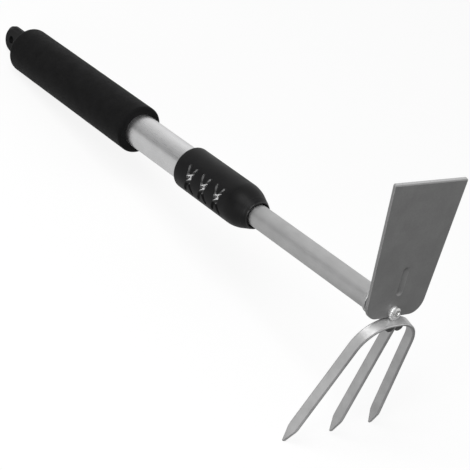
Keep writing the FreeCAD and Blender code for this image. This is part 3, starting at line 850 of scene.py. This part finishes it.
class HOE_OT_collar(bpy.types.Operator):
    """Twist collar with round-bottomed crossed grooves, painted shade in its lower grooves and a
    painted glint at each crossing
    """

    bl_idname = "hoe.collar"
    bl_label = "Twist Collar"

    def bore_outline(self, points, mouth):
        """The collar's stepped bore, read from the CAD node, from its rear to its mouth."""
        skirt = min(math.hypot(point.y, point.z) for point in points if point.x < REAR_FACE)
        steps = set()
        for point in points:
            distance = math.hypot(point.y, point.z)
            if distance < skirt + SAME_RADIUS and point.x < mouth - MOUTH_MARGIN:
                steps.add((round(point.x / MM, 1), round(distance / MM, 1)))
        ordered = sorted(steps, key=lambda step: (step[0], -step[1]))
        return [(station * MM, radius * MM) for station, radius in ordered]

    def outer_outline(self, sizes, radius, mouth, mouth_radius):
        """The collar's outside from its rear edge to the rim of its mouth."""
        rounding, shoulder, rim = sizes.collar_rear_rounding, sizes.collar_shoulder, sizes.collar_rim
        nose = sizes.collar_nose / 2
        turn = mouth - sizes.collar_taper
        slope = (nose - radius) / (sizes.collar_taper - rim)
        half = sizes.cross_length / 2 + sizes.groove_half_width
        crossings = self.crossings(sizes)
        first, last = crossings[0] - half, crossings[-1] + half
        plain, fine = COLLAR_STEP, GROOVE_STEP
        barrel = steps_between(rounding, first, plain) + [first] + steps_between(first, last, fine)
        barrel += [last] + steps_between(last, turn - shoulder, plain)
        outline = quarter_round((0, radius), (0, -rounding), (rounding, 0))
        outline += [(station, radius) for station in barrel]
        outline += quarter_round((turn, radius), (-shoulder, 0), (shoulder, shoulder * slope),
                                 steps=10)
        outline += quarter_round((mouth, nose + slope * rim), (-rim, -slope * rim), (0, -rim))
        outline += quarter_round((mouth, mouth_radius), (0, rim / 2), (-rim / 2, 0))
        return outline

    def side_angles(self, sizes, radius):
        """Angles round the collar, close together where the grooves lie."""
        reach = math.asin((sizes.cross_reach / 2 + sizes.groove_half_width) / radius)
        fine = GROOVE_STEP / radius
        angles = []
        for side in (0, math.pi):
            angles += [side - reach] + steps_between(side - reach, side + reach, fine)
            angles += [side + reach] + steps_between(side + reach, side + math.pi - reach,
                                                     PLAIN_ANGLE_STEP)
        return angles

    def crossings(self, sizes):
        """Where along the collar the grooves cross."""
        return [sizes.cross_first + sizes.cross_pitch * number for number in range(sizes.cross_count)]

    def groove_depth(self, sizes, along, above):
        """How deep the grooves lie at a place, seen square on from the collar's side."""
        bottom = sizes.groove_bottom
        deepest = 0.0
        for crossing in self.crossings(sizes):
            offset = Vector((along - crossing, above))
            nearness = math.exp(-(offset.length / sizes.cross_swell_reach) ** 2)
            swell = 1 + sizes.cross_swell * nearness
            for lean in (1, -1):
                arm = Vector((sizes.cross_length, lean * sizes.cross_reach))
                reach = arm.length / 2 - sizes.groove_half_width
                place = max(min(offset.dot(arm.normalized()), reach), -reach)
                gap = (offset - arm.normalized() * place).length / sizes.groove_half_width / swell
                share = (1 - math.hypot(gap, bottom)) / (1 - bottom)
                deepest = max(deepest, sizes.groove_depth * swell * share)
        return deepest

    def on_painted_glint(self, sizes, along, above):
        """Whether a place lies on the hourglass-shaped painted glint of a crossing."""
        for crossing in self.crossings(sizes):
            ahead = along - crossing
            height = above - sizes.painted_glint_lift - ahead * sizes.painted_glint_lean
            share = abs(height) / sizes.painted_glint_half_height
            reach = sizes.painted_glint_waist + (sizes.painted_glint_end - sizes.painted_glint_waist) * share ** 2
            if share < 1 and abs(ahead) < reach:
                return True
        return False

    def finish_at(self, sizes, place, radius, mouth):
        """Which of the collar's finishes a face has, from where its middle lies."""
        distance = math.hypot(place.y, place.z)
        barrel_end = mouth - sizes.collar_taper - BARREL_MARGIN
        in_groove = (distance < radius - GROOVE_LIP and REAR_MARGIN < place.x < barrel_end
                     and distance > radius - 2 * sizes.groove_depth)
        # Painted glint: faces in the hourglass round each crossing get a bright finish in place of the
        # light that the grooves catch there.
        if in_groove and self.on_painted_glint(sizes, place.x, place.z):
            return PAINTED_GLINT
        # Lower grooves: rougher plastic, and darker as painted shade.
        if in_groove and place.z < -sizes.cross_swell_reach:
            return ROUGH_WITH_PAINTED_SHADE
        on_rim = place.x > mouth - sizes.collar_rim * RIM_REACH
        return POLISHED if in_groove or on_rim else GRAINED

    def execute(self, context):
        sizes, colours = context.scene.hoe_sizes, context.scene.hoe_colours
        points = on_handle("twist_collar")
        mouth = span(points)[1]
        mouth_radius, radius = radii(points)
        outline = self.outer_outline(sizes, radius, mouth, mouth_radius)
        outline += reversed(self.bore_outline(points, mouth))
        builder = revolved(outline, self.side_angles(sizes, radius))
        for vertex in builder.verts:
            if math.hypot(vertex.co.y, vertex.co.z) > radius - ROUND_OFF:
                share = self.groove_depth(sizes, vertex.co.x, vertex.co.z) / radius
                vertex.co.y *= 1 - share
                vertex.co.z *= 1 - share
        grained = plastic_material("black_grained_plastic", colours.plastic, roughness=0.44)
        collar = new_piece("collar_shell", builder, grained, "collar")
        for finish in (
            polished_plastic(colours.plastic),
            # Rougher plastic in a darker colour: painted shade in the lower grooves.
            plastic_material("rough_groove_plastic_with_painted_shade", colours.groove, roughness=0.75),
            # A bright finish for the crossings: a painted glint.
            drawn_metal("painted_crossing_glint", colours.mark, roughness=0.5, metallic=0.2),
        ):
            collar.data.materials.append(finish)
        to_handle = HANDLE.inverted()
        for face in collar.data.polygons:
            face.material_index = self.finish_at(sizes, to_handle @ face.center, radius, mouth)
        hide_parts("twist_collar")
        return {"FINISHED"}


class HOE_OT_plastics(bpy.types.Operator):
    """Black end cap, and the grey plastic pieces inside"""

    bl_idname = "hoe.plastics"
    bl_label = "Cap and Collet"

    def execute(self, context):
        colours = context.scene.hoe_colours
        black = plastic_material("black_moulded_plastic", colours.plastic, roughness=0.5)
        grey = plastic_material("grey_moulded_plastic", colours.collet, roughness=0.4)
        finish_node("end_cap", black, COARSE_CREASE)
        for node in ("collet", "clamp_ring", "guide_bush"):
            finish_node(node, grey)
        return {"FINISHED"}


class HOE_OT_hardware(bpy.types.Operator):
    """Bright stud, cross pins and retaining ring"""

    bl_idname = "hoe.hardware"
    bl_label = "Stud, Pins and Ring"

    def execute(self, context):
        colours = context.scene.hoe_colours
        plated = drawn_metal("plated_steel", colours.plated, roughness=0.42,
                             stretch=TURNED_ROUND, mottle=0.08)
        for node in ("head_tang", "collet_pins", "retaining_ring"):
            finish_node(node, plated)
        return {"FINISHED"}


class HOE_OT_blade(bpy.types.Operator):
    """Hoe blade with its ground edge"""

    bl_idname = "hoe.blade"
    bl_label = "Blade"

    def execute(self, context):
        blade_top = span(on_handle("hoe_blade"), (0, 0, 1))[1]
        finish_node("hoe_blade", blade_material(blade_top))
        return {"FINISHED"}


class HOE_OT_fork(bpy.types.Operator):
    """Outer tines and middle tine"""

    bl_idname = "hoe.fork"
    bl_label = "Fork"

    def execute(self, context):
        sizes, colours = context.scene.hoe_sizes, context.scene.hoe_colours
        # foot_tone paints shade on the tines near the arch, and edge_tone darkens the strip's edges as
        # painted shade.
        strip = drawn_metal("steel_strip", colours.tines, roughness=0.46,
                            stretch=DOWN_THE_TINES, turn=sizes.tine_sweep,
                            metallic=0.9, mottle=0.09, foot_tone=1.2,
                            edge_tone=0.3, edge_cover=1.0, edge_reach=2.4)
        for node in ("outer_tines", "middle_tine"):
            finish_node(node, strip, COARSE_CREASE)
        return {"FINISHED"}


class HOE_OT_welds(bpy.types.Operator):
    """Rippled weld beads that stand in for the plain ones"""

    bl_idname = "hoe.welds"
    bl_label = "Welds"

    def blade_bead(self, sizes, metal):
        """The bead round the tube, behind the blade and above its foot."""
        points = on_handle("blade_weld")
        reach = radii(points)[0] + sizes.blade_bead * BLADE_BEAD_RISE
        station = span(points)[1] - sizes.blade_bead * BLADE_BEAD_SETBACK
        foot = span(points, (0, 0, 1))[0] + sizes.blade_bead
        dip = math.asin(foot / reach)
        length = reach * (math.pi - 2 * dip)

        def radius_at(share):
            return (sizes.blade_bead * ripple(share, length),) * 2

        def outward(point):
            return Vector((0, point.y, point.z))

        path = arc(station, reach, 0, dip, math.pi - dip, steps=160)
        builder = swept_bead(path, outward, radius_at)
        bead = new_piece("blade_bead", builder, metal, "head")
        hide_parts("blade_weld")

    def tine_beads(self, sizes, metal):
        """A bead on each side of the middle tine, in the corner under the arch."""
        across = Vector((math.cos(sizes.tine_sweep), 0, -math.sin(sizes.tine_sweep)))
        up_fork = Vector((math.sin(sizes.tine_sweep), 0, math.cos(sizes.tine_sweep)))
        for name, side in (("left", 1), ("right", -1)):
            points = [point for point in on_handle("tine_weld") if point.y * side > 0]
            rear, front = span(points, across)
            front += sizes.tine_bead_lead
            near, far = sorted(abs(place) for place in span(points, (0, 1, 0)))
            low, high = span(points, up_fork)
            wide = (far - near) / 2
            tall = (high - low) / 2
            middle = Vector((0, side * (near + wide), 0)) + up_fork * (high - tall * TINE_BEAD_DROP)
            path = [middle + across * place for place in spread(rear, front, steps=60)]

            def radius_at(share):
                swell = ripple(share, front - rear)
                return wide * TINE_BEAD_WIDTH * swell, tall * TINE_BEAD_HEIGHT * swell

            builder = swept_bead(path, lambda point: up_fork, radius_at)
            bead = new_piece("tine_bead_" + name, builder, metal, "head")
            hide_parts("tine_weld")

    def stud_bead(self, sizes, metal):
        """The bead round the stud's sides and underside, against the blade and the arch."""
        wide, high = sizes.stud_bead_width, sizes.stud_bead_height
        blade_front = span(on_handle("hoe_blade"))[1]
        stud = [point for point in on_handle("head_tang") if point.x > blade_front + wide]
        radius = span(stud, (0, 1, 0))[1] + high * STUD_BEAD_RISE
        middle = sum(span(stud, (0, 0, 1))) / 2
        turn = STUD_BEAD_END - STUD_BEAD_START

        def radius_at(share):
            swell = ripple(share, radius * turn)
            under = max(-math.sin(STUD_BEAD_START + turn * share), 0)
            return wide * swell, high * swell * (1 + under * sizes.stud_bead_root)

        def outward(point):
            return Vector((0, point.y, point.z - middle))

        path = arc(blade_front + wide * STUD_BEAD_LEAD, radius, middle,
                   STUD_BEAD_START, STUD_BEAD_END, steps=120)
        builder = swept_bead(path, outward, radius_at)
        bead = new_piece("stud_bead", builder, metal, "head")
        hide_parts("stud_weld")

    def execute(self, context):
        sizes, colours = context.scene.hoe_sizes, context.scene.hoe_colours
        dull = weld_material("weld_metal", colours.weld)
        clean = drawn_metal("bright_weld_metal", colours.bright_weld, roughness=0.42, metallic=0.8)
        self.blade_bead(sizes, dull)
        self.tine_beads(sizes, dull)
        self.stud_bead(sizes, clean)
        return {"FINISHED"}


# Stage


def background_rays(tree):
    """1 for what the camera sees directly, in polished metal or through something clear."""
    path = add(tree, "LightPath").outputs
    seen = maths(tree, "MAXIMUM", path["Is Camera Ray"], path["Is Glossy Ray"])
    return maths(tree, "MAXIMUM", seen, path["Is Transmission Ray"])


class HOE_OT_stage(bpy.types.Operator):
    """Pale floor, soft lamps, room light and camera"""

    bl_idname = "hoe.stage"
    bl_label = "Studio"

    def make_floor(self, studio):
        """A pale floor that looks white and keeps the hoe's shadow."""
        material, tree = start_material("pale_floor")
        matt = add(tree, "BsdfDiffuse", {"Color": [studio.floor_grey] * 3 + [1]})
        ahead = part_of(tree, add(tree, "TexCoord").outputs["Object"], "X")
        in_metal = between(tree, ahead, studio.floor_in_metal, studio.floor_ahead,
                           start=FLOOR_BRIGHT_TO, end=FLOOR_DIM_FROM)
        seen = add(tree, "LightPath").outputs["Is Camera Ray"]
        level = blend_numbers(tree, seen, in_metal, studio.floor_glow)
        glow = maths(tree, "MULTIPLY", background_rays(tree), level)
        white = add(tree, "Emission", {"Strength": glow})
        show(material, add(tree, "AddShader", {0: matt.outputs[0], 1: white.outputs[0]}))
        builder = bmesh.new()
        bmesh.ops.create_grid(builder, x_segments=1, y_segments=1, size=studio.floor_size / 2)
        put_in_scene("pale_floor", new_mesh("pale_floor", builder, material))

    def make_room(self, studio):
        """Even light from all round, white to the camera, with bright and dim sides in metal."""
        world = bpy.data.worlds.new("studio_room")
        bpy.context.scene.world = world
        world.use_nodes = True
        tree = world.node_tree
        tree.nodes.clear()
        way = add(tree, "TexCoord").outputs["Generated"]
        sides = between(tree, part_of(tree, way, "Y"), studio.dim_side, studio.bright_side,
                        start=DIM_SIDE_FROM, end=BRIGHT_SIDE_FROM)
        back = between(tree, part_of(tree, way, "X"), studio.back_light, 0,
                       start=BACK_FULL, end=BACK_GONE)
        in_metal = maths(tree, "MAXIMUM", sides, back)
        seen = add(tree, "LightPath").outputs["Is Camera Ray"]
        shown = blend_numbers(tree, seen, in_metal, 1.0)
        strength = blend_numbers(tree, background_rays(tree), studio.room_light, shown)
        background = add(tree, "Background", {"Color": WHITE, "Strength": strength})
        add(tree, "OutputWorld", {"Surface": background.outputs[0]})

    def make_lamp(self, name, place, width, power):
        """A square soft lamp that looks at the hoe."""
        lamp = bpy.data.lights.new(name, "AREA")
        lamp.shape = "SQUARE"
        lamp.size = width
        lamp.energy = power
        holder = put_in_scene(name, lamp)
        holder.location = place
        holder.rotation_euler = (Vector(LAMP_AIM) - Vector(place)).to_track_quat("-Z", "Y").to_euler()

    def make_camera(self, studio):
        """The camera at the photograph's viewing angle."""
        camera = bpy.data.cameras.new("photo_camera")
        camera.sensor_width = SENSOR_WIDTH
        camera.lens = studio.lens
        holder = put_in_scene("photo_camera", camera)
        sight = Vector(studio.camera_aim) - Vector(studio.camera_place)
        lean = Matrix.Rotation(studio.camera_roll, 4, "Z")
        holder.matrix_world = (Matrix.Translation(studio.camera_place)
                               @ sight.to_track_quat("-Z", "Y").to_matrix().to_4x4() @ lean)
        bpy.context.scene.camera = holder

    def execute(self, context):
        studio = context.scene.hoe_studio
        self.make_floor(studio)
        self.make_room(studio)
        self.make_lamp("key_lamp", KEY_PLACE, KEY_WIDTH, studio.key_power)
        self.make_lamp("fill_lamp", FILL_PLACE, FILL_WIDTH, studio.fill_power)
        self.make_camera(studio)
        context.scene.view_settings.view_transform = "Standard"
        return {"FINISHED"}


class HOE_PT_pieces(bpy.types.Panel):
    """Lists the hoe's pieces and its studio"""

    bl_label = "Double Hoe"
    bl_idname = "HOE_PT_pieces"
    bl_space_type = "VIEW_3D"
    bl_region_type = "UI"
    bl_category = "Double Hoe"

    def draw(self, context):
        for operator in OPERATORS:
            self.layout.operator(operator.bl_idname)
        for group in (context.scene.hoe_sizes, context.scene.hoe_colours, context.scene.hoe_studio):
            column = self.layout.column()
            for name in type(group).__annotations__:
                column.prop(group, name)


OPERATORS = (
    HOE_OT_foam_sleeve,
    HOE_OT_tubes,
    HOE_OT_collar,
    HOE_OT_plastics,
    HOE_OT_hardware,
    HOE_OT_blade,
    HOE_OT_fork,
    HOE_OT_welds,
    HOE_OT_stage,
)
CLASSES = (HoeSizes, HoeColours, HoeStudio) + OPERATORS + (HOE_PT_pieces,)


def register():
    """Add the properties, the operators and the panel to the session."""
    for one in CLASSES:
        bpy.utils.register_class(one)
    bpy.types.Scene.hoe_sizes = PointerProperty(type=HoeSizes)
    bpy.types.Scene.hoe_colours = PointerProperty(type=HoeColours)
    bpy.types.Scene.hoe_studio = PointerProperty(type=HoeStudio)


def unregister():
    """Take them out of the session again."""
    del bpy.types.Scene.hoe_studio
    del bpy.types.Scene.hoe_colours
    del bpy.types.Scene.hoe_sizes
    for one in reversed(CLASSES):
        bpy.utils.unregister_class(one)


def main():
    """Make the pieces and the studio."""
    register()
    bpy.ops.hoe.foam_sleeve()
    bpy.ops.hoe.tubes()
    bpy.ops.hoe.collar()
    bpy.ops.hoe.plastics()
    bpy.ops.hoe.hardware()
    bpy.ops.hoe.blade()
    bpy.ops.hoe.fork()
    bpy.ops.hoe.welds()
    bpy.ops.hoe.stage()


if __name__ == "__main__":
    main()
